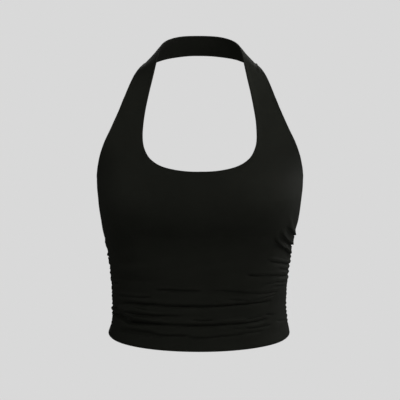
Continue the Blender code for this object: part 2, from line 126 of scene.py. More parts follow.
# ================================================================ folds
# Creases: a path of (angle across, height) points, where the angle is the arc sine of the share
# of the half width, negative on the viewer's left; the depth of the trough; its breadth; how
# far the roll above it stands out; how far that roll droops over the trough; and the length
# over which each end fades, or 0 where the end runs into a side seam.
FRONT_CREASES = (
    # ---- under the bust on the viewer's right: a soft roll
    (((57, 178.4), (63.8, 169.2), (66.9, 163), (72.2, 154.8), (80, 148), (90, 142.6)),
     -1.2, 3.6, 0.0, 0.0, 14, 0),
    # ---- the hollow where the bust ends and the waist begins
    (((-60, 150), (-40, 150), (0, 150), (36, 150), (60, 146), (84, 142)),
     3.2, 19.0, 0.0, 0.0, 50, 34),
    # ---- drag lines into the right seam
    (((46, 112), (52.8, 109.3), (60, 107), (66.1, 105.4), (75.6, 102.5), (90, 99.4)),
     2.0, 1.25, 1.0, 0.7, 9, 0),
    (((59, 98.8), (68, 96.4), (78, 93.8), (90, 91.6)), 1.2, 1.15, 0.6, 0.4, 9, 0),
    (((30.8, 93.1), (34.7, 92), (39.5, 91.3), (44.7, 91.2), (50.4, 90.3), (59.8, 88.4),
      (68, 86.8), (78.1, 85.2), (90, 84.1)), 2.4, 1.3, 0.6, 0.4, 4, 0),
    (((38, 89.2), (48.6, 87), (56, 86), (62, 84.8)), 0.9, 2.6, 0.2, 0.0, 10, 10),
    (((43, 76.8), (49.1, 78), (54.4, 78.5), (63.6, 78.2), (73.4, 76.8), (90, 75.8)),
     1.2, 1.25, 0.2, 0.2, 12, 0),
    (((55, 74.2), (65.8, 72.2), (76, 71), (90, 70)), 0.8, 1.1, 0.4, 0.2, 8, 0),
    # ---- long creases across the waist
    (((-28.5, 71), (-23.8, 71.9), (-20, 72.1), (-16.3, 71.9), (-10.9, 71.1), (-4, 71), (2, 71)),
     1.9, 1.15, 0.5, 0.4, 4, 8),
    (((2, 71.2), (15, 70.9), (26.5, 68.6), (38.7, 65.9), (46, 64.9), (56.4, 65.1), (63, 65.6)),
     1.8, 1.3, 0.4, 0.4, 42, 10),
    (((33, 56.4), (39.2, 56.9), (46.2, 58.4), (50.1, 59.3), (54.3, 60.2), (60, 61.6)),
     1.7, 1.1, 0.3, 0.3, 10, 10),
    (((19, 58.2), (25.3, 57.3), (30.5, 56.8), (34, 56.9)), 1.2, 1.0, 0.3, 0.2, 6, 5),
    (((9, 55.6), (11.3, 55.4), (13.6, 55.5)), 1.1, 1.0, 0.2, 0.0, 2, 2),
    (((-74, 43.2), (-64.8, 45.8), (-58.8, 47.8), (-53.5, 49.4), (-45.8, 50.7), (-39.6, 50.7),
      (-33, 51), (-27.8, 50.9), (-22.1, 50.4), (-14.7, 50.3), (-5.8, 50), (5, 50),
      (10.8, 50.5), (18.6, 51), (24.2, 51.8), (31.3, 52.6), (39.4, 52.6), (42.7, 52.9),
      (46.4, 53.4), (50.8, 54.2), (55, 54.8)), 3.2, 1.4, 0.7, 0.9, 72, 8),
    (((-22, 69), (0, 68.2), (20, 66.4), (38, 64)), 0.8, 3.2, 0.0, 0.0, 14, 14),
    (((-27, 37.2), (-16, 37.4), (-8, 37), (4, 36.4)), 0.8, 3.2, 0.0, 0.0, 8, 8),
    (((-57, 50.2), (-46, 51.6), (-36, 52), (-26, 51.8)), 1.1, 2.3, 0.3, 0.0, 8, 9),
    (((-54, 46), (-46.8, 45.1), (-41.2, 43.3), (-35.6, 41.7)), 0.9, 1.1, 0.3, 0.2, 7, 5),
    (((-90, 37.4), (-80, 38.4), (-72, 39), (-65, 38.8)), 1.3, 1.15, 0.6, 0.4, 0, 5),
    (((-59, 37.4), (-55.1, 36.6), (-48.5, 35.3), (-42, 34.9), (-36.3, 35.2), (-31.5, 35.2), (-25.5, 35.3), (-20.2, 35.3), (-14.7, 35.5), (-9, 35.9)),
     1.3, 1.15, 0.6, 0.5, 7, 16),
    (((-90, 30), (-78, 29.6), (-72, 29.4), (-66.2, 28.8), (-62.8, 28.2), (-58.5, 26.6),
      (-54.8, 25), (-50, 24), (-46, 23.7)), 3.4, 1.2, -1.0, 0.3, 0, 14),
    (((-56.5, 25.8), (-54.8, 25), (-51.2, 24), (-48.2, 23.7), (-42, 23.8),
      (-36.2, 24.3), (-31.4, 24.6), (-25.4, 24.2), (-17.3, 23.7), (-5.5, 23.5),
      (5, 23.5), (13.4, 24.4), (21.5, 25.1), (27.1, 25.2), (31.4, 25.3), (36, 26.2),
      (40.9, 27.1), (45.6, 28.3), (50, 29.2)), 2.8, 1.3, 1.1, 1.0, 11, 9),
    (((32, 29.8), (36.1, 30.7), (39.4, 31.9), (44.9, 33), (48.5, 33.4)),
     1.9, 1.1, 0.3, 0.3, 3, 5),
    (((47.5, 34.6), (52.5, 34), (58, 33)), 1.7, 1.0, 0.2, 0.3, 3, 3),
    (((60, 23.2), (66, 22.2), (74, 21), (82, 20.4)), 0.8, 1.0, 0.1, 0.0, 5, 5),
    (((-4.5, 30.2), (0.8, 29.3), (4.5, 29.3), (9, 30.2)), 1.4, 0.95, 0.4, 0.3, 4, 4),
    # ---- short creases above the hem
    (((31, 17.2), (35.6, 17.2), (41.5, 17.7), (44.3, 18.5), (50, 19.1), (54.5, 19.6)),
     1.8, 1.1, 0.7, 0.5, 4, 7),
    (((23.2, 17.7), (26, 17), (29, 16.6)), 0.9, 1.0, 0.2, 0.0, 3, 3),
    (((-58, 11.4), (-54.5, 11.9), (-44.4, 12), (-40, 11.2), (-35.2, 11.1), (-30, 11)),
     1.4, 1.8, 0.6, 0.2, 12, 3),
    (((-29.4, 10.6), (-26.5, 8.6), (-22.7, 7.9), (-17, 8.1), (-9.8, 8.7), (-7.2, 8.2)),
     2.0, 1.15, 0.6, 0.5, 3, 3),
    (((-7.5, 6.6), (-4.3, 5.6), (3.8, 5.2), (7.5, 5.8), (10.6, 6.8), (14.4, 7.4),
      (18.3, 7.4), (21.6, 7.8), (26, 8.8), (30.6, 10.4), (33.9, 11.3), (41.9, 11.9),
      (46, 12.2)), 1.5, 1.3, 0.5, 0.3, 5, 9),
    # ---- short creases into the left seam
    (((-90, 74), (-76.8, 74.5), (-67.5, 76.2), (-62, 76.8)), 1.5, 1.2, 0.7, 0.4, 0, 7),
    (((-90, 62), (-73.4, 59.9), (-65.4, 58.2)), 1.6, 1.2, 0.7, 0.4, 0, 4),
    (((-67, 58.2), (-56.7, 59), (-47.6, 59.5), (-42, 59.7), (-36.4, 60.3), (-31, 60.6)),
     1.4, 1.2, 0.6, 0.4, 5, 9),
    # ---- soft drag lines from the bust to the side on the viewer's left
    (((-31, 151), (-41.5, 144.5), (-47, 138), (-55.4, 127.5), (-64.2, 118.8), (-76.5, 111.4),
      (-90, 107.5)), 2.4, 4.6, 1.3, 0.0, 18, 0),
    (((-84, 93), (-70, 90), (-52, 88.6), (-30, 90)), 0.5, 4.0, 0.3, 0.0, 14, 36),
    (((-80, 83.5), (-66, 83), (-48, 84), (-26, 86.5), (-16, 88)), 0.5, 3.0, 0.3, 0.0, 14, 36),
)
# Heavy rolls that hang over and leave a broad underside in the shade: a path of (angle across,
# height, height of the underside) points along the lower line; depth; how far the crest above
# stands out; and the length over which each end fades.
FRONT_ROLLS = (
    (((-90, 29.4, 4), (-78, 29, 4.8), (-72, 28.8, 5.4), (-66.2, 28.2, 7.4), (-62.8, 27.4, 10.6),
      (-58.5, 25.8, 11.4), (-54.8, 24.3, 9.6), (-51.2, 23.4, 8.2), (-48.2, 23.2, 7.4),
      (-42.5, 23.2, 6.4), (-37.3, 23.6, 5), (-32.7, 23.9, 4), (-28.4, 24, 3.4),
      (-18, 23.8, 3)), 4.8, 1.2, 0, 22),
    (((-90, 37, 4.6), (-80, 38.2, 4.8), (-72.9, 38.8, 5.2), (-67, 38.8, 5),
      (-63.4, 37.8, 3), (-59.6, 36.8, 2), (-54, 35.6, 4), (-48.5, 34.4, 5.8), (-43, 34, 5.4),
      (-37.8, 34.8, 3.8), (-33.1, 34.8, 3), (-28.5, 34.8, 2.6), (-20, 35, 2.4)),
     3.9, 0.6, 0, 16),
    (((-76, 43, 3.4), (-70.6, 44.6, 4), (-63.3, 46.4, 4.4), (-55.1, 48.4, 4.2),
      (-48.5, 49.6, 3.8), (-43, 50.2, 3.6), (-36, 50.4, 3.2), (-30, 50.4, 3)),
     1.0, 0.4, 12, 14),
    (((-62, 6, 6), (-50, 6.6, 7), (-43, 6.2, 7.2), (-36, 5.8, 7), (-29, 6, 5.4),
      (-20, 5.6, 3.4)), 2.2, 0.6, 12, 10),
)
# Three steep tucks below that soft roll: a path along each dark line; its depth; how far the roll
# above it stands out; the height over which that roll leans back; and the fade at its inner end.
FRONT_TUCKS = (
    (((61, 159), (67, 152.8), (73.9, 147.1), (82, 142.1), (90, 138.9)), 2.3, 2.9, 9, 8),
    (((55.2, 147.9), (58.3, 145.2), (62.3, 140.7), (68.4, 135.5), (75.5, 130.9), (83, 127.4),
      (90, 125.4)), 2.0, 4.8, 11, 5),
    (((50.3, 140.6), (53.9, 135.4), (58, 130.8), (62.6, 127.4), (69, 123.4), (75.4, 118.6),
      (83, 114.6), (90, 112.4)), 2.2, 4.8, 11, 4),
)
BACK_ROLLS = (
    (((-90, 29.6, 5.4), (-76, 27.2, 5.6), (-58, 24.2, 5), (-40, 23.4, 4.4), (-22, 24, 4)),
     2.6, 1.4, 0, 26),
    (((34, 45.4, 4), (48, 46.4, 4.6), (66, 48.2, 5), (90, 50, 5)), 2.4, 1.3, 18, 0),
)
BACK_CREASES = (
    (((-90, 29), (-76, 27.4), (-58, 24.6), (-40, 23.8), (-20, 24.4), (6, 25.2), (28, 24.2),
      (44, 26.6), (58, 29.4)), 2.6, 1.3, 1.3, 0.9, 0, 16),
    (((-54, 47), (-40, 45.8), (-18, 45.2), (4, 44.4), (26, 44.9), (48, 46.8), (66, 48.6),
      (90, 50)), 2.4, 1.25, 1.1, 0.8, 12, 0),
    (((-90, 66), (-74, 64.4), (-56, 60.6), (-38, 58.6), (-20, 58.9), (-6, 59.4)),
     2.0, 1.25, 1.0, 0.7, 0, 14),
    (((-4, 70.6), (12, 71.8), (30, 72.2), (50, 73.4), (70, 74.8), (90, 76)),
     1.8, 1.2, 0.8, 0.6, 10, 0),
    (((-90, 83.6), (-74, 84.4), (-56, 86.6), (-42, 88.2), (-30, 89)),
     1.8, 1.2, 0.9, 0.5, 0, 12),
    (((34, 99), (46, 97.6), (60, 94.4), (74, 92.6), (90, 91.6)), 2.0, 1.2, 1.0, 0.6, 9, 0),
    (((-90, 103), (-76, 106.4), (-62, 111.8), (-50, 116), (-42, 118)),
     2.1, 1.4, 1.3, 0.6, 0, 10),
    (((38, 124), (48, 120), (60, 114.2), (74, 109.6), (90, 106.6)),
     2.4, 1.4, 1.5, 0.8, 7, 0),
    (((-90, 121), (-78, 125.4), (-66, 132.6), (-54, 140), (-48, 143)),
     2.3, 1.5, 1.4, 0.7, 0, 8),
    (((48, 146), (58, 140), (68, 132.6), (78, 127.4), (90, 124.6)), 2.5, 1.5, 1.6, 0.8, 6, 0),
    (((-62, 13.4), (-44, 11.6), (-22, 9.4), (0, 8.8), (20, 9.6), (38, 11.4), (50, 12.2)),
     1.4, 1.5, 0.7, 0.3, 16, 14),
    (((10, 35.6), (24, 35), (40, 36.4), (54, 37.8)), 1.3, 1.1, 0.5, 0.3, 6, 8),
    (((-34, 36.4), (-22, 36), (-8, 35.2), (2, 34.8)), 1.1, 1.1, 0.4, 0.3, 6, 6),
    (((-36, 152), (-48, 143.6), (-60, 132), (-72, 122)), 0.9, 5.5, 0.5, 0.0, 16, 14),
)
# A crease of the strap, from its arm edge towards its middle: (row, share of the width) points
STRAP_CREASE = ((5.25, 0.93), (4.6, 0.86), (4.0, 0.81), (3.4, 0.765), (2.8, 0.73))
# Gathers along each side seam: height on the seam; depth; then how far each runs into the
# front and how much it rises there, and the same for the back.
LEFT_GATHERS = (
    (149.6, 1.1, 16, 9.0, 24, 7.0), (141.5, 0.8, 12, 6.0, 18, 5.0),
    (133.8, 1.5, 20, 9.0, 26, 8.0), (126.0, 1.0, 13, 4.0, 20, 4.0),
    (118.6, 1.3, 16, 5.0, 22, 5.0), (108.6, 3.0, 22, 2.4, 26, 4.0),
    (102.4, 1.1, 12, 1.6, 18, 2.0), (96.2, 1.6, 18, 1.4, 24, 1.6),
    (89.4, 1.1, 13, 0.8, 16, 0.8), (82.0, 1.5, 16, 0.6, 22, 0.6),
    (74.2, 1.5, 13, 0.4, 24, 0.2), (68.0, 1.2, 20, -0.8, 16, -0.2),
    (61.6, 1.4, 12, -0.6, 26, -1.2), (55.6, 1.1, 16, -1.4, 16, -0.6),
    (49.6, 1.3, 22, -2.0, 22, -1.4), (43.6, 1.2, 12, -0.6, 28, -1.8),
    (37.0, 1.6, 13, 0.0, 20, -1.2), (30.4, 1.7, 13, 0.0, 24, -1.8),
    (24.0, 1.0, 15, -1.6, 18, -1.2), (17.6, 0.9, 14, -1.2, 15, -1.0),
    (11.6, 0.5, 10, -0.6, 10, -0.6),
)
RIGHT_GATHERS = (
    (147.0, 1.2, 12, 9.0, 20, 8.0), (138.4, 1.5, 12, 6.0, 22, 7.0),
    (131.6, 0.9, 10, 4.0, 16, 4.0), (125.6, 1.9, 13, 3.0, 24, 7.0),
    (118.4, 1.1, 12, 5.0, 16, 4.0), (112.0, 2.0, 13, 3.0, 24, 5.0),
    (105.4, 1.0, 13, 2.6, 14, 2.0), (99.4, 1.5, 12, 1.0, 20, 1.6),
    (91.8, 1.5, 12, 0.8, 16, 1.0), (84.2, 1.7, 12, 0.4, 24, 0.8),
    (76.2, 1.6, 13, 0.4, 18, -0.4), (70.0, 1.2, 12, 0.6, 24, -0.8),
    (63.8, 1.3, 20, -0.4, 16, -0.4), (57.8, 1.3, 14, -0.8, 24, -0.8),
    (51.6, 1.3, 22, -1.4, 18, -1.0), (45.4, 1.2, 13, -0.8, 26, -1.6),
    (39.0, 1.4, 20, -1.6, 16, -0.8), (32.4, 1.3, 14, -1.2, 22, -1.6),
    (26.4, 1.2, 18, -1.6, 18, -1.2), (20.2, 1.0, 16, -1.2, 18, -1.4),
    (13.6, 0.7, 12, -0.8, 12, -0.8),
)
# How the sides stand in or out where the ruching draws them up: height, left, right
SIDE_DRAW = (
    (-20, -0.4, 0.0), (0, -0.4, 0.0), (6, -1.4, 0.3), (12, -2.4, 0.3), (18, -2.5, 0.3),
    (24, -1.8, 0.7), (30, 0.5, 0.4), (36, -0.7, 0.0), (44, -1.0, 0.0), (54, -0.3, -0.3),
    (64, -0.5, -0.5), (80, -0.4, 0.1), (90, -0.1, -0.3), (100, -0.2, -0.4), (110, 0.2, -0.2),
    (120, -0.7, -1.2), (130, 0.9, -1.6), (140, -0.4, -1.4), (150, 0.3, -2.1), (160, 0.1, -1.4), (176, 0.3, -1.2),
    (192, 0.2, -1.4), (200, 0.0, -1.2), (210, 0.3, -0.6), (220, 0.4, 0.0), (240, 0.4, 0.0),
    (345, 0.4, 0.0),
)
# How far the turned edges stand beyond the pattern line: station along the edge, neckline left,
# neckline right, arm edge left, arm edge right.  The right columns carry on round the nape.
EDGE_STANDS = (
    (0, 0.2, 0.3, 0.3, 0.3), (2, 0.0, 0.2, 0.4, 0.4), (3, 0.0, 0.4, 0.5, 0.5),
    (4, 0.0, 0.7, 0.5, 0.5), (5, 0.0, 0.8, 0.5, 0.4), (6, 0.0, 0.9, 0.6, 0.1),
    (7, 0.0, 1.0, 0.3, -0.3), (8, -0.1, 0.8, 0.0, -0.6), (9, -0.1, 0.9, 0.7, 0.0),
    (10, -0.1, 0.9, 1.2, 0.6), (11, -0.1, 0.6, 0.9, 0.1), (12, -0.1, 0.7, 0.7, 0.1),
    (13, -0.1, 0.5, 0.7, 0.4), (14, -0.2, 0.2, 0.7, 0.6), (15, -0.4, -0.1, 1.1, 1.3),
    (16, -0.5, -0.4, 1.3, 1.4), (17, -0.2, -0.3, 1.2, 1.0), (18, 0.0, -0.2, 1.3, 1.3),
    (19, 0.2, -0.4, 0.6, 0.6), (20, 0.5, -0.3, 0.0, 0.3), (21, 0.2, -0.2, 0.0, 0.0),
    (22, 0.0, 0.0, 0.0, 0.1), (24, 0.0, -0.1, 0.0, 0.3), (26, 0.0, 0.1, 0.0, 0.1),
    (28, 0.0, 0.3, 0.0, 0.1), (30, 0.0, 0.6, 0.0, 0.2), (31, 0.0, 0.9, 0.0, 0.6),
    (32, 0.0, 1.1, 0.0, 1.3), (33, 0.0, 0.9, 0.0, 0.8), (34, 0.0, 0.5, 0.0, 0.0),
)


# ================================================================ curves and form
def spline(knots, values):
    """Natural cubic spline through the values; returns a function of an array."""
    t, v = np.asarray(knots, float), np.asarray(values, float)
    n, step = len(t), np.diff(t)
    rows, right = np.eye(n), np.zeros(n)
    for i in range(1, n - 1):
        rows[i, i - 1:i + 2] = step[i - 1], 2 * (step[i - 1] + step[i]), step[i]
        right[i] = 6 * ((v[i + 1] - v[i]) / step[i] - (v[i] - v[i - 1]) / step[i - 1])
    bend = np.linalg.solve(rows, right)

    def at(x):
        x = np.clip(np.asarray(x, float), t[0], t[-1])
        i = np.clip(np.searchsorted(t, x) - 1, 0, n - 2)
        d, a, b = step[i], t[i + 1] - x, x - t[i]
        return (bend[i] * a ** 3 + bend[i + 1] * b ** 3) / (6 * d) \
            + (v[i] / d - bend[i] * d / 6) * a + (v[i + 1] / d - bend[i + 1] * d / 6) * b
    return at


RING = {name: spline([r[0] for r in RINGS], column)
        for name, column in zip(RING_COLUMNS, list(zip(*RINGS))[1:])}


def body_point(angle, height):
    """Points of the body's outer face; angles run from centre front, in degrees."""
    angle, height = np.broadcast_arrays(np.asarray(angle, float), np.asarray(height, float))
    s, c = np.sin(np.radians(angle)), np.cos(np.radians(angle))
    ahead = c >= 0
    power = np.where(ahead, RING["front_square"](height), RING["back_square"](height))
    depth = np.where(ahead, RING["front"](height), RING["back"](height))
    reach = (np.abs(s) ** power + np.abs(c) ** power) ** (-1 / power)
    return np.stack((RING["shift"](height) + RING["half_width"](height) * s * reach,
                     -depth * c * reach, height), axis=-1)


def unit(v):
    return v / np.maximum(np.linalg.norm(v, axis=-1, keepdims=True), 1e-12)


def body_normal(angle, height):
    return unit(np.cross(body_point(angle + 0.4, height) - body_point(angle - 0.4, height),
                         body_point(angle, height + 0.8) - body_point(angle, height - 0.8)))


def ring_angle(p):
    depth = np.where(p[..., 1] <= 0, RING["front"](p[..., 2]), RING["back"](p[..., 2]))
    return np.degrees(np.arctan2(p[..., 0] / RING["half_width"](p[..., 2]), -p[..., 1] / depth))


def front_angle(x, height):
    power = RING["front_square"](height)
    r = x / RING["half_width"](height)
    return np.degrees(np.arctan2(r, (1 - r ** power) ** (1 / power)))


def edge_curve(points):
    columns = [spline(range(len(points)), column) for column in zip(*points)]
    return lambda station: np.stack([c(station) for c in columns], axis=-1)


def over_the_nape(rows):
    """Rows of one edge carried on to the other side of the nape."""
    return rows + [(-x, y, z) for x, y, z in rows[-2::-1]]


neck_edge = edge_curve([tuple(body_point(front_angle(x, h), h)) for x, h in NECKLINE]
                       + over_the_nape([row[:3] for row in STRAP + NAPE]))
arm_edge = edge_curve([tuple(body_point(a, h)) for a, h in ARM_EDGE]
                      + over_the_nape([row[3:] for row in STRAP + NAPE]))
NECK_START, ARM_START = len(NECKLINE), len(ARM_EDGE)
LAST_ROW = len(STRAP) + len(NAPE) - 1      # middle of the nape


SIDE_PUSH = {side: spline([r[0] for r in SIDE_DRAW], [r[k] for r in SIDE_DRAW])
             for side, k in ((-1, 1), (1, 2))}
STANDS = {(edge, side): spline([r[0] for r in EDGE_STANDS], [r[k] for r in EDGE_STANDS])
          for k, edge, side in ((1, "neck", -1), (2, "neck", 1), (3, "arm", -1), (4, "arm", 1))}


def smooth(x, low, high):
    t = np.clip((np.asarray(x, float) - low) / (high - low), 0.0, 1.0)
    return t * t * (3 - 2 * t)


# Arc length round each level ring from the middle of a panel.
PHI = np.linspace(0.0, 90.0, 361)
LEVELS = np.arange(-20.0, 346.0, 2.5)


def ring_arcs(half):
    angles = PHI if half == "front" else 180.0 - PHI
    p = body_point(angles[None, :], LEVELS[:, None])
    steps = np.linalg.norm(np.diff(p, axis=1), axis=2)
    return np.concatenate([np.zeros((len(LEVELS), 1)), np.cumsum(steps, axis=1)], axis=1)


ARCS = {half: ring_arcs(half) for half in ("front", "back")}


def arc_length(half, turn, height):
    """Distance round the ring, signed as the turn from the panel's middle, in degrees."""
    table = ARCS[half]
    u = np.clip((np.asarray(height, float) - LEVELS[0]) / 2.5, 0, len(LEVELS) - 1.001)
    v = np.clip(np.abs(turn) * 4.0, 0, len(PHI) - 1.001)
    i, j = u.astype(int), v.astype(int)
    a, b = u - i, v - j
    length = (table[i, j] * (1 - b) + table[i, j + 1] * b) * (1 - a) \
        + (table[i + 1, j] * (1 - b) + table[i + 1, j + 1] * b) * a
    return np.copysign(length, turn)


def crease_arc(half, across, height):
    """Arc length of a place given by its angle across."""
    power = float(RING[half + "_square"](height))
    s, c = np.sin(np.radians(PHI)), np.cos(np.radians(PHI))
    share = s * (s ** power + np.abs(c) ** power) ** (-1 / power)
    turn = np.interp(math.sin(math.radians(abs(across))), share, PHI)
    return float(arc_length(half, np.copysign(turn, across), height))


# ================================================================ relief of the folds
def wander(x, seed, size, waves=5):
    """Smooth unevenness of about plus or minus 1 along x, for a length scale."""
    rng = np.random.default_rng(seed)
    total = np.zeros_like(x)
    for k in range(waves):
        total += math.sin(1.1 + k) * 0.2 \
            + np.sin(x * (2 * math.pi / size) * (0.55 + 0.42 * k) + rng.uniform(0, 6.28)) \
            / (1 + 0.35 * k)
    return total / 2.2


def crease_relief(arc, height, half, creases, seed):
    """Push outwards and slide upwards of the cloth by the long creases of a panel."""
    push, slide = np.zeros_like(arc), np.zeros_like(arc)
    for number, (path, depth, breadth, roll, droop, fade0, fade1) in enumerate(creases):
        along = [crease_arc(half, a, h) for a, h in path]
        line = spline(along, [h for _, h in path])
        near = (arc > along[0] - 1) & (arc < along[-1] + 1)
        if not near.any():
            continue
        s, h = arc[near], height[near]
        slope = (line(s + 1.0) - line(s - 1.0)) / 2.0
        off = (h - line(s)) / np.sqrt(1 + slope ** 2)
        fade = np.ones_like(s)
        if fade0:
            fade *= smooth(s, along[0], along[0] + fade0)
        if fade1:
            fade *= 1 - smooth(s, along[-1] - fade1, along[-1])
        wide = breadth * (1 + 0.12 * wander(s, seed + 7 * number + 3, 38.0))
        deep = depth * (1 + 0.16 * wander(s, seed + 7 * number, 52.0))
        off = (off + 0.25 * wander(s, seed + 7 * number + 5, 30.0)) / wide
        # steep where the cloth above hangs over, and a slow way out again below the line
        way = (off + 0.4) / np.where(off < -0.4, 2.0, 1.0)
        trough = (1 + way ** 2) ** -1.5
        above = np.exp(-((off - 2.6) / 1.7) ** 2)
        push[near] += fade * (-deep * trough + 1.1 * roll * above)
        slide[near] -= fade * droop * np.exp(-((off - 1.4) / 1.25) ** 2)
    return push, slide


def roll_relief(arc, height, half, rolls):
    """Push outwards of the heavy rolls: in at the lower line, out again over the underside."""
    push = np.zeros_like(arc)
    for path, depth, crest, fade0, fade1 in rolls:
        along = [crease_arc(half, a, h) for a, h, _ in path]
        line = spline(along, [h for _, h, _ in path])
        tall = spline(along, [t for _, _, t in path])
        near = (arc > along[0] - 1) & (arc < along[-1] + 1)
        s, h = arc[near], height[near]
        off = (h - line(s)) / tall(s)
        fade = np.ones_like(s)
        if fade0:
            fade *= smooth(s, along[0], along[0] + fade0)
        if fade1:
            fade *= 1 - smooth(s, along[-1] - fade1, along[-1])
        deep = depth * np.minimum(tall(s) / 7.5, 1.16) * fade
        slope = (1 - off + np.sqrt((1 - off) ** 2 + 0.02)) / 2
        under = np.where(off > 0, slope, np.exp(-(off * tall(s) / 2.2) ** 2))
        push[near] += fade * crest * np.exp(-((off - 1.2) / 0.5) ** 2) - deep * under
    return push


def tuck_relief(arc, height, half, tucks):
    """Push outwards and slide upwards of steep tucks: each roll leans out and sags to its line."""
    push, slide = np.zeros_like(arc), np.zeros_like(arc)
    for path, depth, crest, length, fade0 in tucks:
        along = [crease_arc(half, a, h) for a, h in path]
        line = spline(along, [h for _, h in path])
        near = arc > along[0] - 1
        s, h = arc[near], height[near]
        slope = (line(s + 1.0) - line(s - 1.0)) / 2.0
        off = (h - line(s) - 0.9 * TUCK_SAG) / np.sqrt(1 + slope ** 2)
        fade = smooth(s, along[0], along[0] + fade0)
        roll = (1 - np.clip(off / length, 0, 1)) ** 1.3 * smooth(off, -0.4, 2.0)
        near_seam = smooth(s, along[-1] - 30, along[-1] - 8)
        roll *= 1 - 0.8 * near_seam
        sag = smooth(off, -0.6, 1.6) * (1 - smooth(off, 2.6, length))
        push[near] += fade * (crest * roll - depth * np.exp(-((off + 0.2) / 0.9) ** 2))
        slide[near] -= fade * TUCK_SAG * sag * (1 - 0.5 * near_seam)
    return push, slide


def gather_relief(from_seam, height, gathers, side, seed):
    """Push outwards of the gathers sewn into a side seam, fading into the panel."""
    push = np.zeros_like(from_seam)
    reach_at, rise_at = (2, 3) if side == "front" else (4, 5)
    for number, row in enumerate(gathers):
        reach, rise = row[reach_at], row[rise_at]
        near = from_seam < reach
        s, h = from_seam[near], height[near]
        run = s / reach
        line = row[0] + rise * run ** 1.15 + 0.4 * wander(s, seed + 11 * number, 14.0)
        wide = 1.25 + 1.1 * run
        off = (h - line) / wide
        fade = (0.75 + 0.25 * smooth(s, 0, 4)) * (1 - smooth(run, 0.3, 1.0))
        push[near] += fade * row[1] * (0.6 * np.exp(-((off - 2.4) / 1.6) ** 2)
                                       - (1 + off ** 2) ** -1.5)
    # the cloth between gathers stands out a little, and fine puckers run into the stitches
    zone = smooth(height, 5, 20) * (1 - smooth(height, 128, 152))
    push += zone * 0.5 * np.exp(-from_seam / 9.0)
    fine = np.sin(height * 1.12 + 1.3 * np.sin(height * 0.171 + seed) + 0.8 * np.sin(
        height * 0.47 + 2.1 * seed)) + 0.4 * np.sin(height * 1.93 + 3.7 * seed)
    push += zone * 0.45 * fine * np.exp(-(from_seam / 7.0) ** 1.4)
    return push


def soft_relief(arc, height, seed):
    """Broad unevenness of worn jersey, longer round the body than up it."""
    rng = np.random.default_rng(seed)
    ruched = smooth(height, -4, 22) * (1 - smooth(height, 96, 168))
    push = np.zeros_like(arc)
    for _ in range(14):
        k_arc, k_up = rng.normal(0, 2 * math.pi / 150.0), 2 * math.pi / rng.uniform(13, 34)
        push += np.sin(arc * k_arc + height * k_up + rng.uniform(0, 6.28)) * rng.uniform(
            0.4, 1.0) / k_up * 0.022
    broad = np.zeros_like(arc)
    for _ in range(8):
        k_arc, k_up = rng.normal(0, 2 * math.pi / 120.0), rng.normal(0, 2 * math.pi / 110.0)
        broad += np.sin(arc * k_arc + height * k_up + rng.uniform(0, 6.28)) * 0.10
    return push * (0.15 + 0.85 * ruched) + broad


def panel_relief(half, turn, height):
    """Relief of the front or back at a turn from the panel's middle and a height."""
    arc = arc_length(half, turn, height)
    seam = arc_length(half, np.full_like(turn, 90.0), height)
    creases, rolls, seed = (FRONT_CREASES, FRONT_ROLLS, 40) if half == "front" \
        else (BACK_CREASES, BACK_ROLLS, 400)
    push, slide = crease_relief(arc, height, half, creases, seed)
    push += roll_relief(arc, height, half, rolls)
    if half == "front":
        tuck_push, tuck_slide = tuck_relief(arc, height, half, FRONT_TUCKS)
        push, slide = push + tuck_push, slide + tuck_slide
    from_seam = seam - np.abs(arc)
    push = push * (0.35 + 0.65 * smooth(from_seam, 0, 9))
    slide = slide * smooth(from_seam, 1, 9)
    left = arc < 0
    for where, gathers, side, number in ((left, LEFT_GATHERS, -1, 3),
                                         (~left, RIGHT_GATHERS, 1, 5)):
        push[where] += gather_relief(from_seam[where], height[where], gathers, half, number)
        push[where] += SIDE_PUSH[side](height[where]) * np.exp(-(from_seam[where] / 42.0) ** 2)
    # the hem stands out a little
    dip = HEM_DIP_FRONT if half == "front" else HEM_DIP_BACK
    above_hem = height + dip * np.cos(np.radians(turn))
    push += (2.3 * np.exp(-(above_hem / 8.0) ** 2) + 0.3 * np.exp(-(above_hem / 2.2) ** 2)) \
        * smooth(from_seam, 26, 74)
    return push + soft_relief(arc, height, seed + 1) * smooth(from_seam, -4, 22) + 0.2, slide


def strap_relief(points, rows, shares, sides):
    """Relief of a strap: one lit crease by its arm edge, and a slight unevenness."""
    line = np.array([strap_point(row, [share])[0] for row, share in STRAP_CREASE])
    p = points * np.stack([sides, np.ones_like(sides), np.ones_like(sides)], axis=1)
    best, place, nearest = np.full(len(p), 1e9), np.zeros(len(p)), np.zeros(len(p))
    for k, (a, b) in enumerate(zip(line[:-1], line[1:])):
        t = np.clip((p - a) @ (b - a) / ((b - a) @ (b - a)), 0, 1)
        gap = np.linalg.norm(p - a - t[:, None] * (b - a), axis=1)
        closer = gap < best
        best[closer] = gap[closer]
        place[closer] = (k + t)[closer]
        nearest[closer] = (STRAP_CREASE[k][1] + t * (STRAP_CREASE[k + 1][1]
                                                     - STRAP_CREASE[k][1]))[closer]
    outer = np.sign(shares - nearest) * best
    run = place / (len(line) - 1)
    fade = smooth(run, -0.2, 0.12) * (1 - smooth(run, 0.45, 1.0))
    fade = np.where(sides > 0, fade, 0.4 * fade)
    crest = 1.25 * np.exp(-(outer / 1.5) ** 2)
    trough = 0.9 * np.exp(-((outer + 3.4) / 1.7) ** 2) + 0.5 * np.exp(-((outer - 3.2) / 1.4) ** 2)
    return fade * (crest - trough) - STRAP_HOLLOW * 4 * shares * (1 - shares) \
        * (1 - smooth(rows, 2.0, 4.4)) * smooth(rows, -2.0, 0.5) \
        + 0.22 * wander(rows * 14.0 + 3 * shares, 71, 60.0) * np.sin(math.pi * shares)


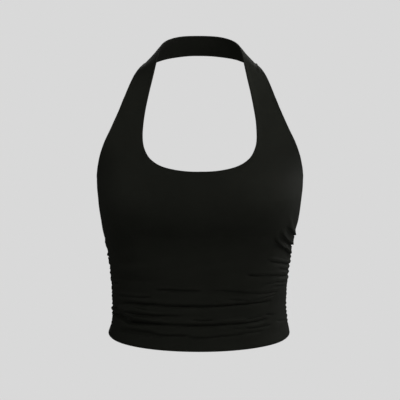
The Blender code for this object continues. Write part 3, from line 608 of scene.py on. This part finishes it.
# ================================================================ meshes
class Net:
    """An open surface of quads and triangles, with a place in the weave for each point."""

    def __init__(self):
        self.points, self.weave, self.turns, self.straps = [], [], [], []
        self.faces, self.count = [], 0

    def add(self, points, weave, turns=None, strap=None):
        """Adds points and returns their numbers.

        A body's point has a turn; a strap's has its row, share of the width and side.
        """
        points = np.atleast_2d(points)
        start, self.count = self.count, self.count + len(points)
        none = np.full(len(points), np.nan)
        self.points.append(points)
        self.weave.append(np.atleast_2d(weave))
        self.turns.append(none if turns is None else np.atleast_1d(np.asarray(turns, float)))
        self.straps.append(np.stack([none] * 3, axis=1) if strap is None else strap)
        return np.arange(start, self.count)

    def strip(self, low, high, flip=False):
        quads = np.stack([low[:-1], low[1:], high[1:], high[:-1]], axis=1)
        self.faces.extend((quads[:, ::-1] if flip else quads).tolist())

    def arrays(self):
        return (np.concatenate(self.points), np.concatenate(self.weave),
                np.concatenate(self.turns))


def split(faces):
    return (np.array([f for f in faces if len(f) == 4], int).reshape(-1, 4),
            np.array([f for f in faces if len(f) == 3], int).reshape(-1, 3))


def point_normals(points, faces):
    total = np.zeros_like(points)
    for group in split(faces):
        if not len(group):
            continue
        a, b = points[group[:, 2]] - points[group[:, 0]], None
        b = points[group[:, 3 if group.shape[1] == 4 else 1]] \
            - points[group[:, 1 if group.shape[1] == 4 else 0]]
        normal = np.cross(a, b) if group.shape[1] == 4 else np.cross(b, a)
        for k in range(group.shape[1]):
            for axis in range(3):
                total[:, axis] += np.bincount(group[:, k], normal[:, axis], len(points))
    return unit(total)


def edges_of(faces):
    pairs = []
    for group in split(faces):
        for k in range(group.shape[1] if len(group) else 0):
            pairs.append(np.stack([group[:, k], group[:, (k + 1) % group.shape[1]]], axis=1))
    return np.concatenate(pairs)


def border_of(faces):
    """Directed edges that only one face has."""
    edges = edges_of(faces)
    key = np.sort(edges, axis=1)
    _, index, times = np.unique(key, axis=0, return_inverse=True, return_counts=True)
    return edges[times[index.ravel()] == 1]


def relax(points, faces, weight, rounds):
    """Evens out a surface where the weight is above 0."""
    edges = edges_of(faces)
    both = np.concatenate([edges, edges[:, ::-1]])
    many = np.maximum(np.bincount(both[:, 0], minlength=len(points)), 1)[:, None]
    for _ in range(rounds):
        mean = np.stack([np.bincount(both[:, 0], points[both[:, 1], k], len(points))
                         for k in range(3)], axis=1) / many
        points = points + (mean - points) * 0.5 * weight[:, None]
    return points


def cloth(name, net_points, weave, faces, outer, inner, shift, material):
    """A closed wall of cloth on an open surface, with its cut edges turned half round."""
    n = len(net_points)
    normals = point_normals(net_points, faces)
    front = net_points + normals * outer[:, None] + shift
    back = net_points + normals * inner[:, None] + 0.8 * shift
    border = border_of(faces)
    rim = np.unique(border)
    number = np.full(n, -1)
    number[rim] = np.arange(len(rim))
    tangent = np.zeros((n, 3))
    step = front[border[:, 1]] - front[border[:, 0]]
    for axis in range(3):
        tangent[:, axis] = np.bincount(border[:, 0], step[:, axis], n) \
            + np.bincount(border[:, 1], step[:, axis], n)
    out = unit(np.cross(unit(tangent[rim]), normals[rim]))
    middle, half = (front[rim] + back[rim]) / 2, (front[rim] - back[rim]) / 2
    rounds = 6
    rings = [middle + half * math.cos(math.pi * k / rounds)
             + out * EDGE_ROUND * math.sin(math.pi * k / rounds) for k in range(1, rounds)]
    points = np.concatenate([front, back] + rings)
    ids = [np.arange(n)[border]] + [2 * n + k * len(rim) + number[border]
                                    for k in range(rounds - 1)] + [n + border]
    all_faces = [list(f) for f in faces] + [[i + n for i in f[::-1]] for f in faces]
    for near, far in zip(ids[:-1], ids[1:]):
        all_faces.extend(np.stack([near[:, 1], near[:, 0], far[:, 0], far[:, 1]],
                                  axis=1).tolist())
    weave_all = np.concatenate([weave, weave] + [weave[rim]] * (rounds - 1))

    origin = np.array((0.0, HOLD_DEPTH, HOLD_HEIGHT))
    mesh = bpy.data.meshes.new(name)
    mesh.from_pydata(((points - origin) * 0.001).tolist(), [], all_faces)
    layer = mesh.uv_layers.new(name="weave")
    corner = np.zeros(len(mesh.loops), int)
    mesh.loops.foreach_get("vertex_index", corner)
    layer.data.foreach_set("uv", (weave_all[corner] * 0.01).ravel())
    mesh.materials.append(material)
    mesh.shade_smooth()
    mesh.update()
    piece = bpy.data.objects.new(name, mesh)
    bpy.context.scene.collection.objects.link(piece)
    return piece


def spaced(curve, start, stop, size):
    """Stations along a curve about one size apart, both ends among them."""
    fine = np.linspace(start, stop, 800)
    run = np.concatenate([[0], np.cumsum(np.linalg.norm(np.diff(curve(fine), axis=0), axis=1))])
    count = max(2, int(round(run[-1] / size)))
    return np.interp(np.linspace(0, run[-1], count + 1), run, fine)


def with_ends(width, size):
    """Distances across a width: the insets of a turned edge at both ends, then even steps."""
    inner = np.array(INSETS)
    count = max(1, int(round((width - 2 * inner[-1]) / size)))
    middle = np.linspace(inner[-1], width - inner[-1], count + 1)[1:-1]
    return np.concatenate([inner, middle, width - inner[::-1]])


def seam_turn(half, height):
    """Turn of a panel's last column, inside the side seam."""
    return 90.0 - np.degrees((EDGE_ROUND + SEAM_HALF) / RING[half](height))


# Columns of a panel, as shares of the turn to its last column, even in arc length.
def column_shares(half):
    arcs = ARCS[half][np.searchsorted(LEVELS, 100.0)]
    total = arcs[-1]
    steps = list(INSETS)
    while steps[-1] < total - 2.0:
        steps.append(steps[-1] + 1.4 + 1.5 * float(smooth(steps[-1], 20, 70)))
    steps = total - np.array(steps[:-1]) * (total / (steps[-1]))
    steps = np.concatenate([-steps, [0.0], steps[::-1]])
    steps[[0, -1]] = INSETS[0] - total, total - INSETS[0]
    turns = np.interp(np.abs(steps), arcs, PHI) * np.sign(steps)
    return turns / turns[-1]


def row_shares(length, ruched):
    """Shares of the height of a panel's rows: close in the ruched zone, wider above."""
    lower = np.arange(INSETS[3], ruched, ROW)
    upper = np.arange(ruched, length, 1.8)
    heights = np.concatenate([np.array(INSETS[:3]), lower, upper[:-1], [length]])
    return (heights - heights[0]) / (length - heights[0])


def panel_rows(net, half, side_top, middle_top, middle_dip, ruched):
    """Level rows of a panel from its hem; returns the numbers of the top row."""
    shares = column_shares(half)
    last = None
    for share in row_shares(side_top, ruched):
        side = EDGE_ROUND + share * (side_top - EDGE_ROUND)
        centre = EDGE_ROUND - middle_dip + share * (middle_top + middle_dip - EDGE_ROUND)
        turn = shares * float(seam_turn(half, side))
        c = np.cos(np.radians(turn))
        edge = c[-1]
        height = side + (centre - side) * (c - edge) / (1 - edge)
        points = body_point(turn if half == "front" else 180.0 - turn, height)
        ids = net.add(points, np.stack([arc_length(half, turn, height), height], axis=1), turn)
        if last is not None:
            net.strip(last, ids, half == "back")
        last = ids
    return last


def inset(curve, stations, distance, inward, side):
    """Angle and height of places inside an edge of the body, at a distance from it."""
    edge = "neck" if inward > 0 else "arm"
    distance = distance - STANDS[edge, side](stations)
    p = curve(stations)
    along = curve(stations + 0.01) - curve(stations - 0.01)
    along[stations < 0.01] = curve(np.array([0.02]))[0] - curve(np.array([0.0]))[0]
    normal = body_normal(ring_angle(p), p[:, 2])
    moved = p + unit(np.cross(along, normal)) * inward * distance[:, None]
    return ring_angle(moved), moved[:, 2]


def inside(polygon, u, v):
    hit = np.zeros(len(u), bool)
    ring = np.concatenate([polygon, polygon[:1]])
    for (x0, y0), (x1, y1) in zip(ring[:-1], ring[1:]):
        if y0 != y1:
            hit ^= ((y0 > v) != (y1 > v)) & (u < x0 + (x1 - x0) * (v - y0) / (y1 - y0))
    return hit


def fill(net, outline_ids, inner_places, size):
    """Even triangles between the yoke line and the straps."""
    points, weave, turns = net.arrays()
    scale = 2.4
    flat = np.stack([turns[outline_ids] * scale, points[outline_ids, 2]], axis=1)
    extra = inner_places * (scale, 1.0)
    tree = KDTree(len(flat) + len(extra))
    for k, (u, v) in enumerate(np.concatenate([flat, extra])):
        tree.insert((u, v, 0.0), k)
    tree.balance()
    low, high = flat.min(axis=0), flat.max(axis=0)
    rows = np.arange(low[1], high[1], size * 0.866)
    lattice = []
    for j, v in enumerate(rows):
        u = np.arange(0.0, high[0], size) + (size / 2 if j % 2 else 0.0)
        lattice.extend((x, v) for x in np.concatenate([-u[::-1], u]))
    lattice = np.unique(np.array(lattice), axis=0)
    lattice = lattice[inside(flat, lattice[:, 0], lattice[:, 1])]
    clear = [tree.find((u, v, 0.0))[2] > 0.72 * size for u, v in lattice]
    extra = np.concatenate([extra, lattice[clear]])
    coords = [Vector(p) for p in np.concatenate([flat, extra])]
    count = len(flat)
    verts, _, tris, source, _, _ = delaunay_2d_cdt(coords, [], [list(range(count))], 1, 1e-6)
    turn, height = extra[:, 0] / scale, extra[:, 1]
    added = net.add(body_point(turn, height),
                    np.stack([arc_length("front", turn, height), height], axis=1), turn)
    ids = [outline_ids[min(o)] if min(o) < count else added[min(o) - count] for o in source]
    for tri in tris:
        (x0, y0), (x1, y1), (x2, y2) = (verts[k] for k in tri)
        face = [int(ids[k]) for k in tri]
        turned = (x1 - x0) * (y2 - y0) - (x2 - x0) * (y1 - y0) > 0
        net.faces.append(face if turned else face[::-1])


def strap_point(row, share):
    """Points of the strap or the nape band at one row and shares of its width."""
    share = np.asarray(share, float)[:, None]
    neck, arm = neck_edge(NECK_START + row), arm_edge(ARM_START + row)
    ahead = (neck_edge(NECK_START + row + 0.05) + arm_edge(ARM_START + row + 0.05)) \
        - (neck_edge(NECK_START + row - 0.05) + arm_edge(ARM_START + row - 0.05))
    out = unit(np.cross(arm - neck, ahead))
    crown = STRAP_CROWN * float(smooth(row, -6, 4))
    strap = neck + (arm - neck) * share + out * crown * 4 * share * (1 - share)
    blend = float(smooth(row, -1.0, 0.8))
    if blend < 1:
        angles = ring_angle(np.array([neck, arm]))
        on_body = body_point(angles[0] + (angles[1] - angles[0]) * share[:, 0],
                             neck[2] + (arm[2] - neck[2]) * share[:, 0])
        strap = on_body * (1 - blend) + strap * blend
    return strap


def shares_at(row, side, width):
    """Shares of the width at which a strap's row has points, its edges a little inside."""
    first = (INSETS[0] - float(STANDS["neck", side](NECK_START + row))) / width
    last = 1 - (INSETS[0] - float(STANDS["arm", side](ARM_START + row))) / width
    return first + STRAP_SHARES * (last - first)


def strap_middle(row):
    return (neck_edge(NECK_START + row) + arm_edge(ARM_START + row)) / 2


def strap_rows(net, side, first, rows, start_run=0.0):
    """Rows of a strap or band, carried on from a first row of point numbers if there is one."""
    last, run, before = first, start_run, None
    for row in rows:
        neck, arm = neck_edge(NECK_START + row), arm_edge(ARM_START + row)
        width = float(np.linalg.norm(arm - neck))
        shares = shares_at(row, side, width)
        middle = strap_middle(row)
        run += 0.0 if before is None else float(np.linalg.norm(middle - before))
        before = middle
        points = strap_point(row, shares) * (side, 1, 1)
        ids = net.add(points, np.stack([side * (90 + shares * width),
                                        np.full(len(shares), 320.0 + run)], axis=1),
                      strap=np.stack([np.full(len(shares), row), shares,
                                      np.full(len(shares), float(side))], axis=1))
        if last is not None:
            net.strip(last, ids, side < 0)
        last = ids
    return last


def strap_shares(width=33.0):
    distances = with_ends(width, FACE * 0.85)
    return (distances - distances[0]) / (distances[-1] - distances[0])


STRAP_SHARES = strap_shares()


def edge_distance(points, faces):
    """Distance of each point from the nearest edge of the cloth."""
    rim = np.unique(border_of(faces))
    tree = KDTree(len(rim))
    for k, i in enumerate(rim):
        tree.insert(points[i], k)
    tree.balance()
    return np.array([tree.find(p)[2] for p in points])


def build_front(material):
    net = Net()
    top = panel_rows(net, "front", YOKE_SIDE_HEIGHT, YOKE_CENTRE_HEIGHT, HEM_DIP_FRONT, 168.0)

    # round the region between the yoke line and the straps, anticlockwise
    def place(turn, height):
        turn, height = np.atleast_1d(turn), np.atleast_1d(height)
        return net.add(body_point(turn, height),
                       np.stack([arc_length("front", turn, height), height], axis=1), turn)

    neck_stations = spaced(neck_edge, 0.0, NECK_START - 1.0, 2.1)
    arm_stations = spaced(arm_edge, 0.0, ARM_START - 1.0, 2.1)
    corner_height = UNDERARM_HEIGHT - EDGE_ROUND
    sides, inner = {}, []
    neck, arm = neck_edge(NECK_START - 1.0), arm_edge(ARM_START - 1.0)
    width = float(np.linalg.norm(arm - neck))
    angles = ring_angle(np.array([neck, arm]))
    for side in (1, -1):
        base_shares = shares_at(-1.0, side, width)
        base_turn = angles[0] + (angles[1] - angles[0]) * base_shares
        base_height = neck[2] + (arm[2] - neck[2]) * base_shares
        heights = np.arange(YOKE_SIDE_HEIGHT + 2.0, corner_height - 1.2, 2.0)
        seam = place(side * seam_turn("front", heights), heights)
        corner = place(side * seam_turn("front", corner_height), corner_height)
        arm_turn, arm_height = inset(arm_edge, arm_stations[1:-1], INSETS[0], -1, side)
        keep = arm_turn < seam_turn("front", corner_height) - 0.5
        arm_ids = place(side * arm_turn[keep], arm_height[keep])
        base = place(side * base_turn, base_height)
        neck_turn, neck_height = inset(neck_edge, neck_stations[1:-1], INSETS[0], 1, side)
        neck_ids = place(side * neck_turn, neck_height)
        sides[side] = (seam, corner, arm_ids, base, neck_ids)
        for distance in INSETS[1:]:
            turn, height = inset(arm_edge, arm_stations[1:-1], distance, -1, side)
            keep = turn < seam_turn("front", corner_height) - distance / 2.0
            inner.append(np.stack([side * turn[keep], height[keep]], axis=1))
            turn, height = inset(neck_edge, neck_stations[1:-1], distance, 1, side)
            inner.append(np.stack([side * turn, height], axis=1))
            heights = np.arange(YOKE_SIDE_HEIGHT + 2.0, corner_height - distance, 2.0)
            turn = 90.0 - np.degrees((distance + SEAM_HALF) / RING["front"](heights))
            inner.append(np.stack([side * turn, heights], axis=1))
        if side == 1:
            for distance in INSETS[1:]:
                turn, height = inset(neck_edge, neck_stations[:1], distance, 1, 1)
                inner.append(np.stack([turn * 0, height], axis=1))
    turn, height = inset(neck_edge, neck_stations[:1], INSETS[0], 1, 1)
    bottom = place(turn * 0, height)
    right, left = sides[1], sides[-1]
    outline = np.concatenate([
        top, right[0], right[1], right[2], right[3][::-1], right[4][::-1], bottom,
        left[4], left[3], left[2][::-1], left[1], left[0][::-1]])
    fill(net, outline, np.concatenate(inner), FACE)

    end = CREST_SEAM - (EDGE_ROUND + SEAM_HALF) / float(np.linalg.norm(
        strap_middle(CREST_SEAM + 0.5) - strap_middle(CREST_SEAM - 0.5)))
    rows = spaced(strap_middle, -1.0, end, 2.1)[1:]
    rows = np.concatenate([rows[:-1], [rows[-1] - 0.11, rows[-1] - 0.04, rows[-1]]])
    for side in (1, -1):
        strap_rows(net, side, sides[side][3], rows)

    points, weave, turns = net.arrays()
    straps = np.concatenate(net.straps)
    faces = net.faces
    upper = np.isnan(turns) | (points[:, 2] > YOKE_SIDE_HEIGHT - 6)
    weight = np.where(upper, 1.0, 0.0)
    weight[np.unique(border_of(faces))] = 0.0
    points = relax(points, faces, weight, 10)
    body = ~np.isnan(turns)
    push, slide = np.zeros(len(points)), np.zeros(len(points))
    push[body], slide[body] = panel_relief("front", turns[body], points[body, 2])
    # the relief eases off towards the straps
    push[body] *= 1 - 0.75 * smooth(points[body, 2], 235, 320)
    on_strap = ~body
    push[on_strap] = strap_relief(points[on_strap], *straps[on_strap].T)
    from_edge, high, across = edge_distance(points, faces), points[:, 2], np.abs(points[:, 0])
    neck_side = np.where(on_strap, straps[:, 1] < 0.5, across < 98)
    zone = smooth(high, 240, 265) * (1 - smooth(high, 360, 384))
    push += np.where(neck_side, zone * NECK_LIFT * np.exp(-(from_edge / 5.5) ** 2), 0.0)
    return finish_cloth("front_jersey", points, weave, faces, push,
                        slid(points, turns, slide), material)


def slid(points, turns, slide, back=False):
    """Shift of points by a slide up the surface of the body."""
    turns = np.where(np.isnan(turns), 0.0, turns)
    angle = 180.0 - turns if back else turns
    up = body_point(angle, points[:, 2] + 1.0) - body_point(angle, points[:, 2] - 1.0)
    return unit(up) * slide[:, None]


def finish_cloth(name, points, weave, faces, relief, shift, material):
    from_edge = edge_distance(points, faces)
    relief = relief * (0.7 + 0.3 * smooth(from_edge, 0, 5))
    bead = 0.18 * np.exp(-(from_edge / 2.4) ** 2) - 0.12 * np.exp(-((from_edge - 5.2) / 1.3) ** 2)
    return cloth(name, points, weave, faces, relief + bead,
                 0.8 * relief - WALL - 0.5 * bead, shift, material)


def build_back(material):
    net = Net()
    panel_rows(net, "back", UNDERARM_HEIGHT - EDGE_ROUND,
               UNDERARM_HEIGHT - BACK_TOP_DIP - EDGE_ROUND, HEM_DIP_BACK, 168.0)
    points, weave, turns = net.arrays()
    push, slide = panel_relief("back", turns, points[:, 2])
    return finish_cloth("back_jersey", points, weave, net.faces, push,
                        slid(points, turns, slide, back=True), material)


def build_nape(material):
    net = Net()
    start = CREST_SEAM + (EDGE_ROUND + SEAM_HALF) / float(np.linalg.norm(
        strap_middle(CREST_SEAM + 0.5) - strap_middle(CREST_SEAM - 0.5)))
    rows = spaced(strap_middle, start, 2.0 * LAST_ROW - start, 2.1)
    rows = np.concatenate([[rows[0], rows[0] + 0.04, rows[0] + 0.11], rows[1:-1],
                           [rows[-1] - 0.11, rows[-1] - 0.04, rows[-1]]])
    strap_rows(net, 1, None, rows)
    points, weave, _ = net.arrays()
    row, share, _ = np.concatenate(net.straps).T
    push = 0.25 * wander(row * 14.0, 91, 70.0) * np.sin(math.pi * share)
    return finish_cloth("nape_jersey", points, weave, net.faces, push,
                        np.zeros_like(points), material)


# ================================================================ materials
def jersey(name, seed):
    material = bpy.data.materials.new(name)
    material.use_nodes = True
    nodes, links = material.node_tree.nodes, material.node_tree.links
    shader = nodes["Principled BSDF"]
    shader.inputs["Metallic"].default_value = 0.0
    shader.inputs["IOR"].default_value = 1.45
    shader.inputs["Specular IOR Level"].default_value = 0.3
    shader.inputs["Sheen Weight"].default_value = 0.008
    shader.inputs["Sheen Roughness"].default_value = 0.42
    shader.inputs["Sheen Tint"].default_value = (0.96, 1.0, 0.9, 1.0)
    shader.inputs["Specular Tint"].default_value = (0.95, 1.0, 0.82, 1.0)

    def math_node(kind, a, b=None):
        node = nodes.new("ShaderNodeMath")
        node.operation = kind
        for socket, value in zip(node.inputs, (a, b)):
            if value is None:
                continue
            if isinstance(value, (int, float)):
                socket.default_value = value
            else:
                links.new(value, socket)
        return node.outputs[0]

    place = nodes.new("ShaderNodeTexCoord")
    # wales and courses of the knit: V shaped loops in upright columns
    weave = nodes.new("ShaderNodeUVMap")
    weave.uv_map = "weave"
    parts = nodes.new("ShaderNodeSeparateXYZ")
    links.new(weave.outputs[0], parts.inputs[0])
    wale = math_node("MULTIPLY", parts.outputs[0], 100.0 / 0.95)
    course = math_node("MULTIPLY", parts.outputs[1], 100.0 / 0.8)
    within = math_node("FRACT", wale)
    lean = math_node("ABSOLUTE", math_node("SUBTRACT", within, 0.5))
    loops = math_node("SINE", math_node("MULTIPLY", math_node("ADD", course, lean), 6.2832))
    ribs = math_node("SINE", math_node("MULTIPLY", within, 3.14159))
    knit = math_node("ADD", math_node("MULTIPLY", ribs, 0.8), math_node("MULTIPLY", loops, 0.2))

    fuzz = nodes.new("ShaderNodeTexNoise")
    fuzz.inputs["Scale"].default_value = 900.0
    fuzz.inputs["Detail"].default_value = 3.0
    links.new(place.outputs["Object"], fuzz.inputs["Vector"])
    height = math_node("ADD", knit, math_node("MULTIPLY", fuzz.outputs["Fac"], 0.6))
    bump = nodes.new("ShaderNodeBump")
    bump.inputs["Strength"].default_value = 0.35
    bump.inputs["Distance"].default_value = 0.00012
    links.new(height, bump.inputs["Height"])
    links.new(bump.outputs["Normal"], shader.inputs["Normal"])

    # slightly uneven dye and nap, and painted shade in the low places of the knit
    cloud = nodes.new("ShaderNodeTexNoise")
    cloud.inputs["Scale"].default_value = 34.0
    cloud.inputs["Detail"].default_value = 4.0
    links.new(place.outputs["Object"], cloud.inputs["Vector"])
    ramp = nodes.new("ShaderNodeValToRGB")
    ramp.color_ramp.elements[0].position = 0.32
    ramp.color_ramp.elements[0].color = (0.0050, 0.0052, 0.0041, 1.0)
    ramp.color_ramp.elements[1].position = 0.70
    ramp.color_ramp.elements[1].color = (0.0070, 0.0073, 0.0058, 1.0)
    links.new(cloud.outputs["Fac"], ramp.inputs["Fac"])
    # painted shade: the base colour is darkened where the knit lies low, in its grooves
    knit_groove_shade = nodes.new("ShaderNodeMixRGB")
    knit_groove_shade.blend_type = "MULTIPLY"
    knit_groove_shade.inputs["Fac"].default_value = 0.25
    shade = nodes.new("ShaderNodeValToRGB")
    shade.color_ramp.elements[0].color = (0.55, 0.55, 0.55, 1.0)
    links.new(knit, shade.inputs["Fac"])
    links.new(ramp.outputs["Color"], knit_groove_shade.inputs["Color1"])
    links.new(shade.outputs["Color"], knit_groove_shade.inputs["Color2"])
    links.new(knit_groove_shade.outputs["Color"], shader.inputs["Base Color"])
    rough = nodes.new("ShaderNodeMapRange")
    rough.inputs["To Min"].default_value = 0.66
    rough.inputs["To Max"].default_value = 0.82
    links.new(fuzz.outputs["Fac"], rough.inputs["Value"])
    links.new(rough.outputs["Result"], shader.inputs["Roughness"])
    return material


# ================================================================ pieces
fabric = jersey("black_double_jersey", 1)
front = build_front(fabric)
back = build_back(fabric)
nape = build_nape(fabric)
for piece, node in ((front, "front_panel"), (back, "back_panel"), (nape, "neck_strap")):
    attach(piece, "root")
    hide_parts(node)


# ================================================================ studio
TARGET = Vector((0.0, -HOLD_DEPTH * 0.001, (192.0 - HOLD_HEIGHT) * 0.001))


# Soft boxes: turn to the viewer's right from the front, elevation, distance, width, watts
SOFT_BOXES = (
    ("key", 55, 50, 0.9, 0.4, 1.80),
    ("key_low", 55, 25, 0.9, 0.4, 0.49),
    ("side_right", 85, 25, 0.9, 0.4, 0.74),
    ("rim_right", 115, 25, 0.9, 0.4, 1.41),
    ("rim_right_far", 125, 8, 2.2, 0.9, 1.22),
    ("top_right", 90, 75, 2.2, 0.9, 4.80),
    ("fill_left", -55, 25, 0.9, 0.4, 1.68),
    ("rim_left", -120, 8, 2.2, 0.9, 0.64),
    ("fill_level", 0, -10, 1.6, 0.6, 2.84),
    ("fill_low", 0, -36, 1.25, 0.55, 0.83),
    ("low_right", 55, -36, 1.25, 0.55, 0.37),
    ("low_side", 90, -36, 1.25, 0.55, 0.96),
    ("side_low", 80, -10, 1.6, 0.6, 0.65),
    ("back", 180, 32, 2.2, 0.9, 14.0),
)
for label, azimuth, elevation, distance, width, watts in SOFT_BOXES:
    box = bpy.data.lights.new(label, "AREA")
    box.shape = "SQUARE"
    box.size = width
    box.energy = watts
    a, e = math.radians(azimuth), math.radians(elevation)
    away = Vector((math.sin(a) * math.cos(e), -math.cos(a) * math.cos(e), math.sin(e)))
    thing = bpy.data.objects.new(label, box)
    thing.location = TARGET + away * distance
    thing.rotation_euler = (-away).to_track_quat("-Z", "Y").to_euler()
    thing.visible_camera = False
    bpy.context.scene.collection.objects.link(thing)

camera_data = bpy.data.cameras.new("camera")
camera_data.sensor_width = 36.0
camera_data.lens = 148.608
camera_data.clip_end = 20.0
camera = bpy.data.objects.new("camera", camera_data)
tilt = math.radians(4.0)
camera.location = TARGET + Vector((0.0, -2.4 * math.cos(tilt), 2.4 * math.sin(tilt)))
camera.rotation_euler = (math.radians(90.0) - tilt, 0.0, 0.0)
bpy.context.scene.collection.objects.link(camera)
bpy.context.scene.camera = camera

world = bpy.data.worlds.new("studio")
world.use_nodes = True
tree = world.node_tree
sky = tree.nodes["Background"]
sky.inputs["Color"].default_value = (0.694, 0.694, 0.694, 1.0)
sky.inputs["Strength"].default_value = 0.004
paper = tree.nodes.new("ShaderNodeBackground")
paper.inputs["Color"].default_value = (0.694, 0.694, 0.694, 1.0)
path = tree.nodes.new("ShaderNodeLightPath")
mix = tree.nodes.new("ShaderNodeMixShader")
tree.links.new(path.outputs["Is Camera Ray"], mix.inputs[0])
tree.links.new(sky.outputs[0], mix.inputs[1])
tree.links.new(paper.outputs[0], mix.inputs[2])
tree.links.new(mix.outputs[0], tree.nodes["World Output"].inputs["Surface"])
bpy.context.scene.world = world
bpy.context.scene.view_settings.view_transform = "Standard"

floor_mesh = bpy.data.meshes.new("floor")
disc = [(3.0 * math.cos(2 * math.pi * k / 96), 3.0 * math.sin(2 * math.pi * k / 96), 0.0)
        for k in range(96)]
floor_mesh.from_pydata(disc, [], [list(range(96))])
floor = bpy.data.objects.new("floor", floor_mesh)
floor.location = TARGET + Vector((0.0, 0.0, -1.75))
pale = bpy.data.materials.new("pale_floor")
pale.use_nodes = True
pale.node_tree.nodes["Principled BSDF"].inputs["Base Color"].default_value = (0.6, 0.6, 0.59, 1.0)
pale.node_tree.nodes["Principled BSDF"].inputs["Roughness"].default_value = 0.9
floor_mesh.materials.append(pale)
bpy.context.scene.collection.objects.link(floor)
